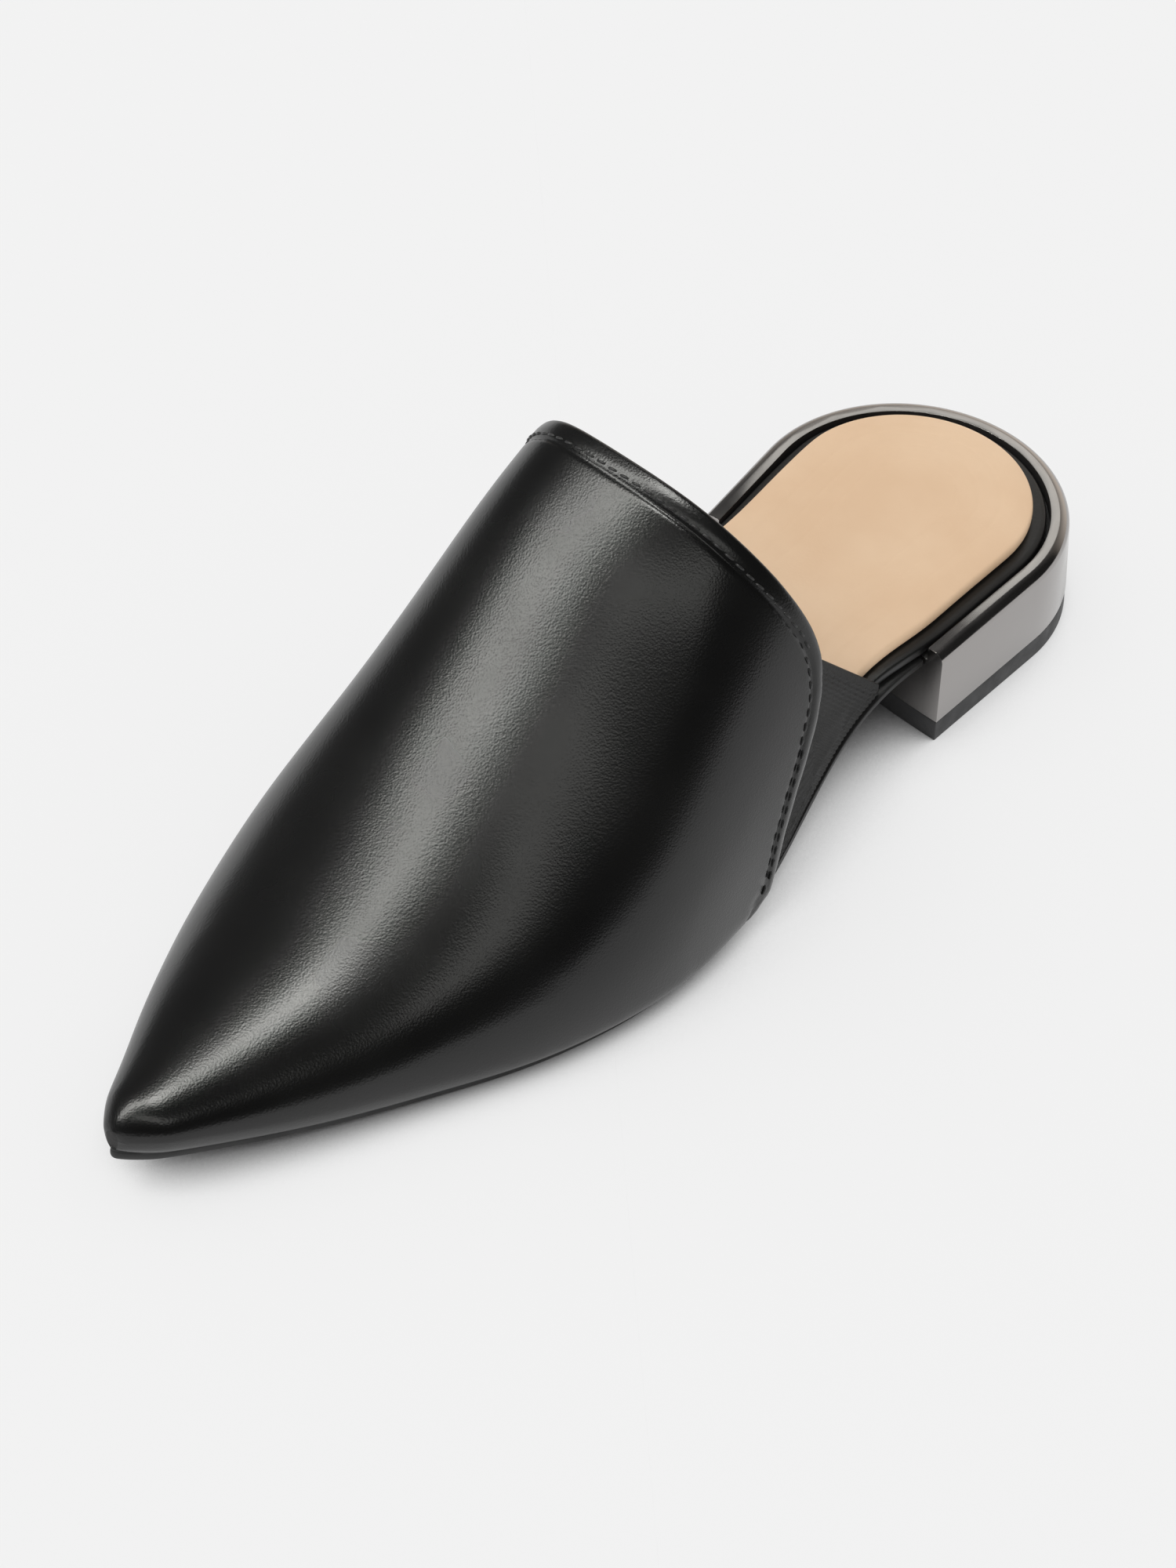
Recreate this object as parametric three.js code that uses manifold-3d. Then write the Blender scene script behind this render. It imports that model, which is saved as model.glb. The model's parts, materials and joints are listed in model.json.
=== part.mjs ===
// A pointed leather mule for the left foot: one-piece upper, elastic gore, padded insole and a
// low metal heel. Millimetres. x runs along the last from its heel end to the toe, y to the
// outer (lateral) side, z up from the floor.
import * as THREE from 'three';
import { mergeVertices } from 'three/addons/utils/BufferGeometryUtils.js';
import Module from 'manifold-3d';

const wasm = await Module();
wasm.setup();

// ---- driving dimensions -------------------------------------------------------------------
const toeEnd = 267.3;
const toeTipRadius = 8;         // roundness of the point, seen from above
const tipBlunt = 0.35;          // how far the point has narrowed where its flat end begins
const wall = 1.8;               // leather with its lining
const gap = 0.3;                // between pieces that touch

const treadStart = 150;         // the flat of the sole under the ball of the foot
const treadEnd = 190;
const toeSpring = 8.2;
const toeSpringPower = 1.8;
const outsoleThickness = 2.7;
const outsoleCorner = 0.7;
const outsoleProud = 0.2;       // how far the outsole stands out from the feather line
const waistFrom = 105;          // the sole's waist blends into the feather line between these
const waistTo = 135;

const seatHeight = 20.2;        // where the insole board rests in the heel
const breast = 63.5;            // front face of the heel
const breastHollow = 1.4;       // how far that face is hollowed in the middle
const heelBackRadius = 33.6;
const heelStandOut = 1.2;       // of the rim behind the end of the last
const heelFlare = 1.8;          // how far the heel's foot stands out behind the rim
const heelLateralFront = 34.9;  // half widths of the heel at the breast
const heelMedialFront = 28.8;
const topLiftHeight = 5;
const topLiftCorner = 0.5;
const rimHeight = 23.4;
const rimWidth = 3.9;
const rimRound = 2.8;
const topLiftSetback = 0.2;     // of the top lift from the metal above it

const featherTuck = 3.7;        // how far the upper turns in below its widest line
const featherHeight = 4.8;      // height of the widest line above the sole
const tipTurnIn = 0.35;         // share of that height that is left at the point
const crownLimit = 0.6;         // of a half width: how far the crown may lie to one side

const boardInset = 4.6;         // from the heel's outside to the wrapped edge of the board
const boardThickness = 2.6;
const boardCorner = 0.8;
const goreSetback = 2.1;        // of the board from the outsole's edge, behind the elastic
const upperSetback = 3.4;       // of the board from the outsole's edge, inside the upper
const underGoreFrom = 62;       // where the board starts to give way to the elastic
const underUpperFrom = 104;     // where the upper comes in over the board, and is all over it
const underUpperTo = 116;
const sockInset = 3.1;          // from the board's edge to the padded sock, in the heel
const sockInsetFront = 1.2;
const sockWidenFrom = 45;
const sockThickness = 3;
const sockCrown = 0.7;
const sockCorner = 1;
const boardToeGap = 10;         // the board and the sock stop short of the shoe's point
const sockToeGap = 17;

const goreThickness = 1.2;
const goreRear = 77;            // where the elastic runs out along the sole
const goreBow = 1.5;            // how soon its front border's curve dies out towards the rear
const goreOverlap = 5;          // how far it reaches under the edge of the upper
const goreLowAngle = -40;       // its front border, read round the section
const goreTopAngle = 31;
const goreRearHeight = 2;       // of the strip that is left at the rear
const goreLiftStart = 102;      // where its foot starts to rise over the upper's edge

// ---- tables -------------------------------------------------------------------------------
// The last: half widths at the widest line, height of the crown over the floor, how far the
// crown lies to the outer side, and how square each half of the section is (2 is an ellipse).
const lastTable = [
  { x: 60, lateral: 35, medial: 37.5, top: 116, crown: -6, squareLateral: 2.7, squareMedial: 2.7 },
  { x: 95, lateral: 40.8, medial: 37.4, top: 102, crown: -6.5, squareLateral: 2.7, squareMedial: 2.7 },
  { x: 130, lateral: 45.3, medial: 37.6, top: 87, crown: -7, squareLateral: 2.65, squareMedial: 2.68 },
  { x: 160, lateral: 46.9, medial: 39.6, top: 60, crown: -6, squareLateral: 2.5, squareMedial: 2.5 },
  { x: 185, lateral: 42.1, medial: 39.8, top: 41.5, crown: -4.5, squareLateral: 2.3, squareMedial: 2.2 },
  { x: 210, lateral: 32.5, medial: 32.9, top: 30.3, crown: -2, squareLateral: 2.15, squareMedial: 2 },
  { x: 235, lateral: 22.4, medial: 21.2, top: 24.6, crown: 0, squareLateral: 2.05, squareMedial: 1.95 },
  { x: 258, lateral: 11.6, medial: 7.9, top: 21.2, crown: 1, squareLateral: 2, squareMedial: 1.9 },
  { x: 268, lateral: 6.8, medial: 2.9, top: 20, crown: 1, squareLateral: 2, squareMedial: 1.9 },
];

// The sole's edge between the heel's round back and the upper: half widths of the outsole.
const waistTable = [
  { x: 33.6, lateral: 29, medial: 29 },
  { x: 48, lateral: 29.6, medial: 27 },
  { x: 62, lateral: 30.2, medial: 24.6 },
  { x: 76, lateral: 30.2, medial: 23.6 },
  { x: 90, lateral: 31.9, medial: 24.2 },
  { x: 105, lateral: 35.8, medial: 26.6 },
  { x: 120, lateral: 39.6, medial: 30.4 },
  { x: 135, lateral: 42.2, medial: 34 },
];

// The collar edge of the upper, read round the section: the angle from the lateral widest line
// (0) over the crown (90) to the medial widest line (180), and where the edge crosses it.
const collarTable = [
  { angle: -90, x: 132.5 },
  { angle: -45, x: 131.2 },
  { angle: -10, x: 128.4 },
  { angle: 0, x: 126.8 },
  { angle: 8, x: 120.2 },
  { angle: 15, x: 112.9 },
  { angle: 21, x: 110.2 },
  { angle: 27, x: 110 },
  { angle: 36, x: 112.8 },
  { angle: 60, x: 119.4 },
  { angle: 90, x: 122.4 },
  { angle: 120, x: 119 },
  { angle: 145, x: 112.8 },
  { angle: 156, x: 112.4 },
  { angle: 166, x: 114.6 },
  { angle: 180, x: 117.4 },
  { angle: 210, x: 118.4 },
  { angle: 270, x: 119 },
];

// ---- curves -------------------------------------------------------------------------------
const clamp = THREE.MathUtils.clamp;
const radians = THREE.MathUtils.degToRad;

// Smooth curves through the columns of a table, read by its first column.
function smoothTable(rows) {
  const [key, ...columns] = Object.keys(rows[0]);
  const positions = rows.map((row) => row[key]);
  const values = rows.flatMap((row) => columns.map((column) => row[column]));
  const curve = new THREE.CubicInterpolant(positions, values, columns.length);
  return (position) => {
    const result = curve.evaluate(clamp(position, positions[0], positions.at(-1)));
    return Object.fromEntries(columns.map((column, i) => [column, result[i]]));
  };
}

// Middle of the heel's round back at a height: the heel leans out behind the rim as it goes down.
function backCentre(z) {
  return heelBackRadius - heelStandOut - heelFlare * (1 - z / rimHeight);
}

const seatCentre = backCentre(rimHeight);
const lastAt = smoothTable(lastTable);
const waistAt = smoothTable(waistTable);
const collarAt = smoothTable(collarTable);

// Underside of the outsole: the heel's pitch, the arch, the flat tread and the toe spring.
function soleBottom(x) {
  const arch = THREE.MathUtils.smoothstep(treadStart - x, 0, treadStart - breast - 1);
  const toe = clamp((x - treadEnd) / (toeEnd - treadEnd), 0, 1) ** toeSpringPower;
  return (seatHeight - outsoleThickness) * arch + toeSpring * toe;
}

function soleTop(x) {
  return soleBottom(x) + outsoleThickness;
}

// 1 along the shoe, falling to 0 over the round of the toe's point.
function tipRound(x) {
  const along = clamp((x - toeEnd + toeTipRadius) / toeTipRadius, 0, 1);
  return Math.sqrt(1 - along * along);
}

// A point on the outside of the last. The angle is that of collarTable: below 0 and above 180
// the section turns in under its widest line, to the feather at -90 and 270.
function lastPoint(x, angle) {
  const row = lastAt(x);
  const round = tipRound(x);
  const lateral = row.lateral * round;
  const medial = -row.medial * round;
  const crown = clamp(row.crown, crownLimit * medial, crownLimit * lateral);
  const foot = soleTop(x) + gap;
  const turnIn = featherHeight * THREE.MathUtils.lerp(tipTurnIn, 1, round);
  const rise = (row.top - foot - featherHeight) * round;
  const side = angle < 90 ? 1 : -1;
  const widest = side > 0 ? lateral : medial;
  const fromSide = side > 0 ? angle : 180 - angle;
  if (fromSide < 0) {
    const down = radians(-fromSide);
    const y = widest - side * featherTuck * round * (1 - Math.cos(down));
    return new THREE.Vector3(x, y, foot + turnIn * (1 - Math.sin(down)));
  }
  const square = side > 0 ? row.squareLateral : row.squareMedial;
  const y = crown + (widest - crown) * Math.cos(radians(fromSide)) ** (2 / square);
  const z = foot + turnIn + rise * Math.sin(radians(fromSide)) ** (2 / square);
  return new THREE.Vector3(x, y, z);
}

// Outer edge of the outsole on one side: the waist, then the feather line of the upper.
function soleEdge(x, side) {
  const column = side > 0 ? 'lateral' : 'medial';
  const waist = waistAt(x)[column];
  const feather = lastAt(x)[column] - featherTuck;
  const forward = THREE.MathUtils.smoothstep(x, waistFrom, waistTo);
  return THREE.MathUtils.lerp(waist, feather + outsoleProud, forward) * tipRound(x);
}

// Outer edge of the insole board: round in the heel, set back for the elastic at the lateral
// waist, and set back from the turned-in upper in front.
function boardEdge(x, side) {
  const back = heelBackRadius - boardInset;
  if (x < seatCentre) return Math.sqrt(Math.max(back ** 2 - (seatCentre - x) ** 2, 0));
  const underGore = THREE.MathUtils.smoothstep(x, underGoreFrom, goreRear);
  const waistSetback = side > 0 ? goreSetback * underGore : 0;
  const forward = THREE.MathUtils.smoothstep(x, underUpperFrom, underUpperTo);
  return soleEdge(x, side) - THREE.MathUtils.lerp(waistSetback, upperSetback, forward) * tipRound(x);
}

// Outer edge of the padded sock on the board.
function sockEdge(x, side) {
  const back = heelBackRadius - boardInset - sockInset;
  if (x < seatCentre) return Math.sqrt(Math.max(back ** 2 - (seatCentre - x) ** 2, 0));
  const forward = THREE.MathUtils.smoothstep(x, sockWidenFrom, underUpperTo);
  return boardEdge(x, side) - THREE.MathUtils.lerp(sockInset, sockInsetFront, forward);
}

// ---- solids from grids --------------------------------------------------------------------
// Merges the points that fall together and drops the triangles that this leaves without area.
function closedGeometry(points, index) {
  const geometry = new THREE.BufferGeometry();
  const numbers = points.flatMap((point) => point.toArray());
  geometry.setAttribute('position', new THREE.Float32BufferAttribute(numbers, 3));
  geometry.setIndex(index);
  const merged = mergeVertices(geometry, 1e-3);
  const corners = merged.getIndex().array;
  const kept = [];
  for (let i = 0; i < corners.length; i += 3) {
    const [a, b, c] = corners.slice(i, i + 3);
    if (a !== b && b !== c && c !== a) kept.push(a, b, c);
  }
  merged.setIndex(kept);
  return merged;
}

// A wall between an outer and an inner grid of points, grid[row][column]. The first row is an
// open edge, and so are the first and last columns. With foldedEnd the last row is closed
// across, each point to the one that faces it; otherwise it is an open edge too.
function wallBetween(outer, inner, foldedEnd) {
  const rows = outer.length;
  const columns = outer[0].length;
  const index = [];
  const quad = (a, b, c, d) => index.push(a, c, b, a, d, c);
  const out = (i, j) => i * columns + j;
  const into = (i, j) => (rows + i) * columns + j;
  const end = rows - 1;
  const side = columns - 1;
  for (let i = 0; i < end; i += 1) {
    for (let j = 0; j < side; j += 1) {
      quad(out(i, j), out(i + 1, j), out(i + 1, j + 1), out(i, j + 1));
      quad(into(i, j), into(i, j + 1), into(i + 1, j + 1), into(i + 1, j));
    }
    quad(out(i, 0), into(i, 0), into(i + 1, 0), out(i + 1, 0));
    quad(out(i, side), out(i + 1, side), into(i + 1, side), into(i, side));
  }
  for (let j = 0; j < side; j += 1) {
    quad(out(0, j), out(0, j + 1), into(0, j + 1), into(0, j));
    if (!foldedEnd) quad(out(end, j), into(end, j), into(end, j + 1), out(end, j + 1));
  }
  if (foldedEnd) {
    for (let j = 0; j < side / 2; j += 1) {
      quad(out(end, j), out(end, side - j), out(end, side - j - 1), out(end, j + 1));
      quad(into(end, j), into(end, j + 1), into(end, side - j - 1), into(end, side - j));
    }
    quad(out(end, 0), into(end, 0), into(end, side), out(end, side));
  }
  return closedGeometry([...outer.flat(), ...inner.flat()], index);
}

// A solid through layers from the bottom up, each an outline seen from above and a height that
// may change along the shoe. Its two ends are closed in strips from each point to the one that
// faces it across the shoe, or, where the layer is flat, by plain triangles.
function layeredSolid(layers, flat = false) {
  const count = layers[0].outline.length;
  const points = layers.flatMap(({ outline, height }) => (
    outline.map(({ x, y }) => new THREE.Vector3(x, y, height(x)))
  ));
  const index = [];
  const top = (layers.length - 1) * count;
  for (let i = 0; i < layers.length - 1; i += 1) {
    for (let j = 0; j < count; j += 1) {
      const a = i * count + j;
      const b = i * count + ((j + 1) % count);
      index.push(a, b + count, b, a, a + count, b + count);
    }
  }
  if (flat) {
    for (const [layer, start] of [[layers[0], 0], [layers.at(-1), top]]) {
      for (const corners of THREE.ShapeUtils.triangulateShape(layer.outline, [])) {
        const faceUp = THREE.ShapeUtils.area(corners.map((i) => layer.outline[i])) > 0;
        const ordered = faceUp === (start === top) ? corners : corners.toReversed();
        index.push(...ordered.map((i) => i + start));
      }
    }
  } else {
    for (let j = 0; j < count / 2 - 1; j += 1) {
      const [a, b, c, d] = [j, j + 1, count - 2 - j, count - 1 - j];
      index.push(a, b, c, a, c, d);
      index.push(top + a, top + c, top + b, top + a, top + d, top + c);
    }
  }
  return closedGeometry(points, index);
}

// An outline moved inwards by a distance, square to itself.
function insetOutline(outline, distance) {
  return outline.map((point, i) => {
    const before = outline.at(i - 1);
    const after = outline[(i + 1) % outline.length];
    const along = after.clone().sub(before).normalize();
    return new THREE.Vector2(point.x + along.y * distance, point.y - along.x * distance);
  });
}

function toManifold(geometry) {
  const plain = geometry.clone();
  plain.deleteAttribute('normal');
  plain.deleteAttribute('uv');
  const merged = mergeVertices(plain, 1e-4);
  const vertProperties = new Float32Array(merged.getAttribute('position').array);
  const triVerts = new Uint32Array(merged.getIndex().array);
  return new wasm.Manifold(new wasm.Mesh({ numProp: 3, vertProperties, triVerts }));
}

function fromManifold(solid) {
  const mesh = solid.getMesh();
  const geometry = new THREE.BufferGeometry();
  geometry.setAttribute('position', new THREE.BufferAttribute(mesh.vertProperties, 3));
  geometry.setIndex(new THREE.BufferAttribute(mesh.triVerts, 1));
  return geometry;
}

// ---- outlines seen from above ---------------------------------------------------------------
// Stations along the shoe, evenly spread and then closing up over the round of the toe.
function stationsToTip(from, tip, count, tipCount) {
  const roundStart = tip - toeTipRadius;
  const last = Math.acos(tipBlunt);
  const body = Array.from({ length: count }, (_, i) => from + ((roundStart - from) * i) / (count - 1));
  const round = Array.from({ length: tipCount }, (_, i) => (
    roundStart + toeTipRadius * Math.sin((last * (i + 1)) / tipCount)
  ));
  return [...body, ...round];
}

// Stations that open out over the round back of the heel, from its rearmost point.
function stationsFromBack(radius, count) {
  return Array.from({ length: count }, (_, i) => {
    const angle = radians(5 + (85 * i) / count);
    return seatCentre - radius * Math.cos(angle);
  });
}

// Even stations from the heel's widest place to a front end.
function stationsTo(front, count) {
  return Array.from({ length: count }, (_, i) => (
    THREE.MathUtils.lerp(seatCentre, front, i / (count - 1))
  ));
}

// Lateral side from back to front, then medial side from front to back.
function outlineOf(edge, stations) {
  const lateral = stations.map((x) => new THREE.Vector2(x, edge(x, 1)));
  const medial = stations.map((x) => new THREE.Vector2(x, -edge(x, -1)));
  return [...lateral, ...medial.reverse()];
}

// Where the straight side of the heel leaves the round back, as an angle about its centre.
function heelTangent(frontHalfWidth, centre) {
  const forward = breast - centre;
  const toCorner = Math.atan2(frontHalfWidth, forward);
  return toCorner + Math.acos(heelBackRadius / Math.hypot(forward, frontHalfWidth));
}

// The heel's outline at a height: round back, straight sides, and a front face hollowed by a
// shallow curve.
function heelOutline(z, inset, front, hollow) {
  const centre = backCentre(z);
  const radius = heelBackRadius - inset;
  const arcSteps = 14;
  const frontSteps = 8;
  const half = (frontHalfWidth, side) => {
    const tangent = heelTangent(frontHalfWidth, centre);
    const arc = Array.from({ length: arcSteps }, (_, i) => {
      const angle = THREE.MathUtils.lerp(Math.PI, tangent, (i + 0.5) / (arcSteps - 0.5));
      return new THREE.Vector2(centre + radius * Math.cos(angle), side * radius * Math.sin(angle));
    });
    const slope = -Math.cos(tangent) / Math.sin(tangent);
    const end = arc.at(-1);
    return [...arc, new THREE.Vector2(front, end.y + side * slope * (front - end.x))];
  };
  const lateral = half(heelLateralFront, 1);
  const medial = half(heelMedialFront, -1);
  const face = Array.from({ length: frontSteps - 1 }, (_, i) => {
    const share = (i + 1) / frontSteps;
    const x = front - hollow * (1 - (2 * share - 1) ** 2);
    return new THREE.Vector2(x, THREE.MathUtils.lerp(lateral.at(-1).y, medial.at(-1).y, share));
  });
  return [...lateral, ...face, ...medial.reverse()];
}

// ---- pieces -------------------------------------------------------------------------------
const halfSection = [-90, -60, -30, 0, 4, 8, 12, 16, 20, 25, 31, 38, 46, 55, 64, 73, 82];
const sectionAngles = [...halfSection, 90, ...halfSection.map((angle) => 180 - angle).reverse()];
const upperRows = 24;
const tipRows = 4;
const collarSupport = 0.012;    // a close second row keeps the collar's edge firm

// Rows run from the collar edge to the tip of the toe.
function upperStations(edge) {
  const even = stationsToTip(edge, toeEnd, upperRows, tipRows);
  const support = edge + collarSupport * (toeEnd - edge);
  return [edge, support, ...even.slice(1)];
}

// A point inside the last, square to its surface at this depth.
function insideLast(x, angle, depth) {
  const step = 0.01;
  const p = lastPoint(x, angle);
  const along = lastPoint(x + step, angle).sub(p);
  const round = lastPoint(x, angle + step).sub(p);
  const inward = round.cross(along).normalize();
  return p.addScaledVector(inward, -depth);
}

function makeUpper() {
  const stations = sectionAngles.map((angle) => upperStations(collarAt(angle).x));
  const grid = (depth) => stations[0].map((_, row) => (
    sectionAngles.map((angle, column) => insideLast(stations[column][row], angle, depth))
  ));
  return wallBetween(grid(0), grid(wall), true);
}

function makeOutsole() {
  const stations = stationsToTip(breast + gap, toeEnd, 26, 4);
  const edge = outlineOf(soleEdge, stations);
  const shoulder = insetOutline(edge, outsoleCorner);
  return layeredSolid([
    { outline: shoulder, height: soleBottom },
    { outline: edge, height: (x) => soleBottom(x) + outsoleCorner },
    { outline: edge, height: (x) => soleTop(x) - outsoleCorner / 2 },
    { outline: insetOutline(edge, outsoleCorner / 2), height: soleTop },
  ]);
}

function makeTopLift() {
  const layer = (z, inset) => (
    { outline: heelOutline(z, inset, breast - inset, breastHollow), height: () => z }
  );
  return layeredSolid([
    layer(0, topLiftSetback + topLiftCorner),
    layer(topLiftCorner, topLiftSetback),
    layer(topLiftHeight, topLiftSetback),
  ], true);
}

// The metal heel: a solid block whose outside rises in a rounded rim round the insole board.
function makeHeel() {
  const roundSteps = 5;
  const wallLayers = [topLiftHeight + gap, rimHeight - rimRound].map((z) => (
    { outline: heelOutline(z, 0, breast, breastHollow), height: () => z }
  ));
  const roundLayers = Array.from({ length: roundSteps }, (_, i) => {
    const angle = radians((90 * (i + 1)) / roundSteps);
    const inset = rimRound * (1 - Math.cos(angle));
    const z = rimHeight - rimRound * (1 - Math.sin(angle));
    return { outline: heelOutline(z, inset, breast, breastHollow), height: () => z };
  });
  const block = layeredSolid([...wallLayers, ...roundLayers], true);
  const seat = layeredSolid([seatHeight, rimHeight + 1].map((z) => (
    { outline: heelOutline(rimHeight, rimWidth, breast + 1, 0), height: () => z }
  )), true);
  return fromManifold(toManifold(block).subtract(toManifold(seat)));
}

// A flexible layer that lies along the shoe: straight sides with a small round at each edge,
// and, on a padded one, a top that rises to a crown.
function makeLayer({ edge, stations, low, thickness, corner, crown }) {
  const side = outlineOf(edge, stations);
  const layer = (inset, rise) => (
    { outline: insetOutline(side, inset), height: (x) => low(x) + rise }
  );
  const layers = [
    layer(corner / 2, 0),
    layer(0, corner / 2),
    layer(0, thickness - corner),
    layer(0.3 * corner, thickness - 0.3 * corner),
    layer(corner, thickness),
  ];
  if (crown > 0) layers.push(layer(4 * corner, thickness + crown));
  return layeredSolid(layers);
}

function makeInsoleBoard() {
  const back = stationsFromBack(heelBackRadius - boardInset, 9);
  const stations = [...back, ...stationsTo(toeEnd - boardToeGap, 26)];
  return makeLayer({
    edge: boardEdge, stations, low: (x) => soleTop(x) + gap,
    thickness: boardThickness, corner: boardCorner, crown: 0,
  });
}

function makeInsoleSock() {
  const back = stationsFromBack(heelBackRadius - boardInset - sockInset, 9);
  return makeLayer({
    edge: sockEdge, stations: [...back, ...stationsTo(toeEnd - sockToeGap, 24)],
    low: (x) => soleTop(x) + gap + boardThickness + gap,
    thickness: sockThickness, corner: sockCorner, crown: sockCrown,
  });
}

// The elastic fills the opening between the upper's lateral edge and the sole. Its front
// border lies against the inside of the upper. Its foot stands on the outsole, and rises a
// little in front, over the upper's turned-in edge.
function goreSurface(depth) {
  const columns = 14;
  const rows = 8;
  const border = (share) => {
    const angle = THREE.MathUtils.lerp(goreLowAngle, goreTopAngle, share);
    return insideLast(collarAt(angle).x + goreOverlap, angle, wall + gap + depth);
  };
  const [low, high] = [border(0), border(1)];
  const inwards = soleEdge(low.x, 1) - gap - depth - low.y;
  const upwards = low.z - soleTop(low.x) - gap;
  const foot = (along) => {
    const x = THREE.MathUtils.lerp(goreRear, low.x, along);
    const lift = THREE.MathUtils.smoothstep(x, goreLiftStart, low.x);
    const y = soleEdge(x, 1) - gap - depth - lift * inwards;
    return new THREE.Vector3(x, y, soleTop(x) + gap + lift * upwards);
  };
  const rear = foot(0).add(new THREE.Vector3(0, 0, goreRearHeight));
  return Array.from({ length: columns }, (_, i) => {
    const along = i / (columns - 1);
    const top = rear.clone().lerp(high, along);
    return Array.from({ length: rows }, (__, j) => {
      const share = j / (rows - 1);
      const ruled = foot(along).lerp(top, share);
      const bow = border(share).sub(low.clone().lerp(high, share));
      return ruled.addScaledVector(bow, along ** goreBow);
    });
  });
}

function makeGore() {
  return wallBetween(goreSurface(0), goreSurface(goreThickness), false);
}

// ---- the shoe -----------------------------------------------------------------------------
const shoe = new THREE.Group();

function addPiece(name, geometry, color, roughness, metalness) {
  const material = new THREE.MeshStandardMaterial({ color, roughness, metalness });
  const mesh = new THREE.Mesh(geometry, material);
  mesh.name = name;
  shoe.add(mesh);
}

addPiece('outsole', makeOutsole(), 0x1c1c1c, 0.6, 0);
addPiece('top_lift', makeTopLift(), 0x262626, 0.65, 0);
addPiece('heel', makeHeel(), 0x8a8683, 0.18, 1);
addPiece('insole_board', makeInsoleBoard(), 0x191919, 0.5, 0);
addPiece('insole_sock', makeInsoleSock(), 0xe4c3a0, 0.6, 0);
addPiece('elastic_gore', makeGore(), 0x141414, 0.9, 0);
addPiece('upper', makeUpper(), 0x151515, 0.42, 0);

// The origin is on the floor under the middle of the shoe.
const extent = new THREE.Box3().setFromObject(shoe);
const middle = extent.getCenter(new THREE.Vector3());
shoe.position.set(-middle.x, -middle.y, -extent.min.z);

export default shoe;
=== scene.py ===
import json
from math import acos, atan2, cos, degrees, exp, hypot, pi, radians, sin

import bpy
from mathutils import Matrix, Vector
from mathutils.kdtree import KDTree

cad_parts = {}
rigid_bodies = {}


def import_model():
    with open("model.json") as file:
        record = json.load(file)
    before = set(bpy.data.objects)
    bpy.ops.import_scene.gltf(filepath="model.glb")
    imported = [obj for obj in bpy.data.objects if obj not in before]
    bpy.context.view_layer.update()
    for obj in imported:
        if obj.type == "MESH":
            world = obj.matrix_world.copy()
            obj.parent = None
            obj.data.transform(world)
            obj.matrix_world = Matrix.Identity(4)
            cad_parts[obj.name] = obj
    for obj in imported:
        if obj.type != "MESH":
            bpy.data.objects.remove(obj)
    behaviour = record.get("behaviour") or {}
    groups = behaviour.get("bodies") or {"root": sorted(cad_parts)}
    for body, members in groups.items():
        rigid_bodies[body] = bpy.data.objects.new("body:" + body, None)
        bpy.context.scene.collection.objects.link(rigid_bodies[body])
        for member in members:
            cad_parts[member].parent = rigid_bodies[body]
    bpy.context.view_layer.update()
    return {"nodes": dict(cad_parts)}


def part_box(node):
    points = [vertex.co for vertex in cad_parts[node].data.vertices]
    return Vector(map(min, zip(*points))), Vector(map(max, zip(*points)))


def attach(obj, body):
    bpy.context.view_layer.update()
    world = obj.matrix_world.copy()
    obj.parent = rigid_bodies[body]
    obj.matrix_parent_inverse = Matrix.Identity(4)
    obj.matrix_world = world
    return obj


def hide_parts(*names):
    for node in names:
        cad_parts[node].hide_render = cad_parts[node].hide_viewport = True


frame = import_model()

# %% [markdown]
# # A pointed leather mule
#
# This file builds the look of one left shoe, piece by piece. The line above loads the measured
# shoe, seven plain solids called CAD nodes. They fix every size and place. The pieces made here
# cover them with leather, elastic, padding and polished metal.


def mm(*values):
    """Millimetres to metres: one number, or a vector of three."""
    metres = [value / 1000 for value in values]
    return metres[0] if len(metres) == 1 else Vector(metres)


# %% [markdown]
# ## Where things are
#
# The shoe was drawn with x = 0 at the heel end of the last, and then moved so that the origin
# is under its middle. The heel's box gives that shift back: its front face, the breast, is at
# x = 63.5 mm, and its widest place is 34.9 mm to the outer side of the last's middle line.

# %% The shoemaker's ruler
BREAST = 63.5
LATERAL_HALF = mm(34.9)
MEDIAL_HALF = mm(28.8)
HEEL_RADIUS = mm(33.6)
heel_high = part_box("heel")[1]
LAST_END = heel_high.x - mm(BREAST)
MIDDLE_LINE = heel_high.y - LATERAL_HALF


def along(x):
    """A distance from the end of the last, in millimetres, as an x of the scene."""
    return LAST_END + mm(x)


back_centre = Vector((along(32.4), MIDDLE_LINE, 0))
print("the heel's back is round about", back_centre)


# %% [markdown]
# ## Selecting in code
#
# Blender's operators act on what is selected, as a hand on the mouse would. So everything is
# deselected first, and the wanted object alone is picked. In edit mode, faces and edges are
# picked by a test on their place or direction.

# %% Picking helpers
def pick(*objects):
    if bpy.context.object and bpy.context.object.mode != "OBJECT":
        bpy.ops.object.mode_set(mode="OBJECT")
    bpy.ops.object.select_all(action="DESELECT")
    for item in objects:
        item.select_set(True)
    bpy.context.view_layer.objects.active = objects[0]


def pick_parts(piece, kind, test):
    """Selects the vertices, edges or faces of a piece that pass a test, and opens edit mode."""
    pick(piece)
    bpy.ops.object.mode_set(mode="EDIT")
    bpy.ops.mesh.select_mode(type=kind)
    bpy.ops.mesh.select_all(action="DESELECT")
    bpy.ops.object.mode_set(mode="OBJECT")
    mesh = piece.data
    parts = {"VERT": mesh.vertices, "EDGE": mesh.edges, "FACE": mesh.polygons}[kind]
    for part in parts:
        part.select = test(part)
    bpy.ops.object.mode_set(mode="EDIT")
    return sum(part.select for part in parts)


def edge_ends(piece, edge):
    return [piece.data.vertices[i].co for i in edge.vertices]


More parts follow.
